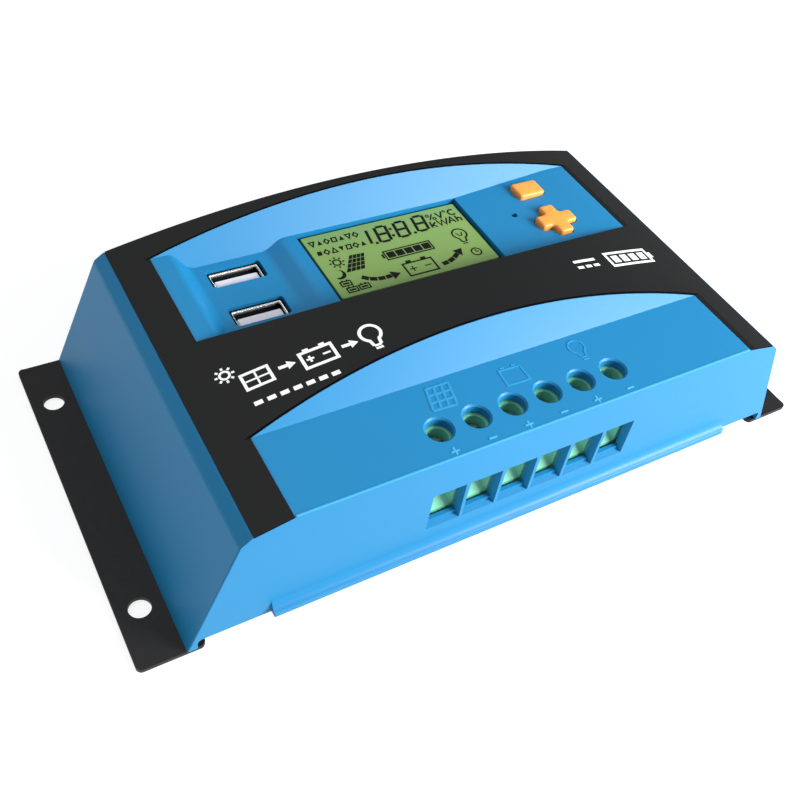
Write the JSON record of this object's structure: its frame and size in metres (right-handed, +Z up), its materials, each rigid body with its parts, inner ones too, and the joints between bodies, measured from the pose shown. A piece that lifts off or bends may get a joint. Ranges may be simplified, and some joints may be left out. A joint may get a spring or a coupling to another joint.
{
  "type": "solar charge controller",
  "caption": "Solar charge controller: blue arched housing on a black flanged plate, with a display, orange keys, USB sockets and screw terminals for panel, battery and load.",
  "frame": {"origin": "centre of the base plate's underside, which is the bottom centre of the bounding box", "axes": "+X along the length to the right as seen from the terminal side, +Y from the terminals to the back, +Z up from the mounting surface"},
  "size_m": [0.188, 0.094, 0.0416],
  "materials": {
    "black_plate": "satin black powder coat on aluminium sheet",
    "blue_shell": "fine-textured blue ABS moulding",
    "black_film": "satin black polycarbonate label film",
    "gasket": "black foam rubber",
    "lcd": "yellow-green liquid crystal behind clear glass",
    "white_plastic": "white thermoplastic",
    "circuit_board": "green solder resist on glass laminate",
    "black_plastic": "black moulded plastic",
    "smoked_lens": "smoked clear light pipe",
    "orange_key": "soft satin orange plastic",
    "plated_steel": "bright nickel plating",
    "green_block": "green polyamide",
    "zinc_steel": "zinc-plated steel",
    "tinned_copper": "tinned copper",
    "thermal_pad": "grey silicone",
    "aluminium": "milled aluminium",
    "capacitor_sleeve": "dark blue shrink sleeve",
    "ferrite": "dark ferrite",
    "spacer_brass": "nickel-free brass"
  },
  "bodies": {
    "controller": {"base_plate": "black_plate", "housing": "blue_shell", "label_film": "black_film", "lcd_gasket": "gasket", "lcd_glass": "lcd", "lcd_backlight": "white_plastic", "display_board": "circuit_board", "display_header": "black_plastic", "status_light": "smoked_lens", "menu_switch": "black_plastic", "plus_switch": "black_plastic", "usb_shell_front": "plated_steel", "usb_tongue_front": "white_plastic", "usb_shell_back": "plated_steel", "usb_tongue_back": "white_plastic", "usb_board": "circuit_board", "usb_header": "black_plastic", "terminal_block": "green_block", "main_board": "circuit_board", "thermal_pad": "thermal_pad", "heat_spreader": "aluminium", "bulk_capacitor": "capacitor_sleeve", "output_capacitor": "capacitor_sleeve", "inductor": "ferrite", "microcontroller": "black_plastic", "terminal_contact_1": "tinned_copper", "terminal_contact_2": "tinned_copper", "terminal_contact_3": "tinned_copper", "terminal_contact_4": "tinned_copper", "terminal_contact_5": "tinned_copper", "terminal_contact_6": "tinned_copper", "board_spacer_1": "spacer_brass", "power_transistor_1": "black_plastic", "base_screw_1": "zinc_steel", "board_spacer_2": "spacer_brass", "power_transistor_2": "black_plastic", "base_screw_2": "zinc_steel", "board_spacer_3": "spacer_brass", "power_transistor_3": "black_plastic", "base_screw_3": "zinc_steel", "board_spacer_4": "spacer_brass", "power_transistor_4": "black_plastic", "base_screw_4": "zinc_steel"},
    "menu_key": {"menu_button": "orange_key", "menu_plunger": "black_plastic"},
    "plus_key": {"plus_button": "orange_key", "plus_plunger": "black_plastic"},
    "screw_1": {"terminal_screw_1": "zinc_steel"},
    "cage_1": {"terminal_cage_1": "plated_steel"},
    "screw_2": {"terminal_screw_2": "zinc_steel"},
    "cage_2": {"terminal_cage_2": "plated_steel"},
    "screw_3": {"terminal_screw_3": "zinc_steel"},
    "cage_3": {"terminal_cage_3": "plated_steel"},
    "screw_4": {"terminal_screw_4": "zinc_steel"},
    "cage_4": {"terminal_cage_4": "plated_steel"},
    "screw_5": {"terminal_screw_5": "zinc_steel"},
    "cage_5": {"terminal_cage_5": "plated_steel"},
    "screw_6": {"terminal_screw_6": "zinc_steel"},
    "cage_6": {"terminal_cage_6": "plated_steel"}
  },
  "joints": [
    {"name": "menu_press", "type": "slide", "parent": "controller", "child": "menu_key", "axis": [0, 0, -1], "range_m": [0, 0.0006], "stiffness_N_per_m": 1600, "springref_m": -0.0004},
    {"name": "plus_press", "type": "slide", "parent": "controller", "child": "plus_key", "axis": [0, 0, -1], "range_m": [0, 0.0006], "stiffness_N_per_m": 1600, "springref_m": -0.0004},
    {"name": "screw_turn_1", "type": "hinge", "parent": "controller", "child": "screw_1", "pos_m": [-0.02375, -0.0363, 0.0291], "axis": [0, 0, -1], "range_deg": [0, 1441]},
    {"name": "cage_rise_1", "type": "slide", "parent": "controller", "child": "cage_1", "axis": [0, 0, 1], "range_m": [0, 0.0028]},
    {"name": "screw_turn_2", "type": "hinge", "parent": "controller", "child": "screw_2", "pos_m": [-0.01425, -0.0363, 0.0291], "axis": [0, 0, -1], "range_deg": [0, 1441]},
    {"name": "cage_rise_2", "type": "slide", "parent": "controller", "child": "cage_2", "axis": [0, 0, 1], "range_m": [0, 0.0028]},
    {"name": "screw_turn_3", "type": "hinge", "parent": "controller", "child": "screw_3", "pos_m": [-0.00475, -0.0363, 0.0291], "axis": [0, 0, -1], "range_deg": [0, 1441]},
    {"name": "cage_rise_3", "type": "slide", "parent": "controller", "child": "cage_3", "axis": [0, 0, 1], "range_m": [0, 0.0028]},
    {"name": "screw_turn_4", "type": "hinge", "parent": "controller", "child": "screw_4", "pos_m": [0.00475, -0.0363, 0.0291], "axis": [0, 0, -1], "range_deg": [0, 1441]},
    {"name": "cage_rise_4", "type": "slide", "parent": "controller", "child": "cage_4", "axis": [0, 0, 1], "range_m": [0, 0.0028]},
    {"name": "screw_turn_5", "type": "hinge", "parent": "controller", "child": "screw_5", "pos_m": [0.01425, -0.0363, 0.0291], "axis": [0, 0, -1], "range_deg": [0, 1441]},
    {"name": "cage_rise_5", "type": "slide", "parent": "controller", "child": "cage_5", "axis": [0, 0, 1], "range_m": [0, 0.0028]},
    {"name": "screw_turn_6", "type": "hinge", "parent": "controller", "child": "screw_6", "pos_m": [0.02375, -0.0363, 0.0291], "axis": [0, 0, -1], "range_deg": [0, 1441]},
    {"name": "cage_rise_6", "type": "slide", "parent": "controller", "child": "cage_6", "axis": [0, 0, 1], "range_m": [0, 0.0028]}
  ],
  "couplings": [
    {"joint": "screw_turn_1", "follows": "cage_rise_1", "rad_per_m": 8976},
    {"joint": "screw_turn_2", "follows": "cage_rise_2", "rad_per_m": 8976},
    {"joint": "screw_turn_3", "follows": "cage_rise_3", "rad_per_m": 8976},
    {"joint": "screw_turn_4", "follows": "cage_rise_4", "rad_per_m": 8976},
    {"joint": "screw_turn_5", "follows": "cage_rise_5", "rad_per_m": 8976},
    {"joint": "screw_turn_6", "follows": "cage_rise_6", "rad_per_m": 8976}
  ]
}
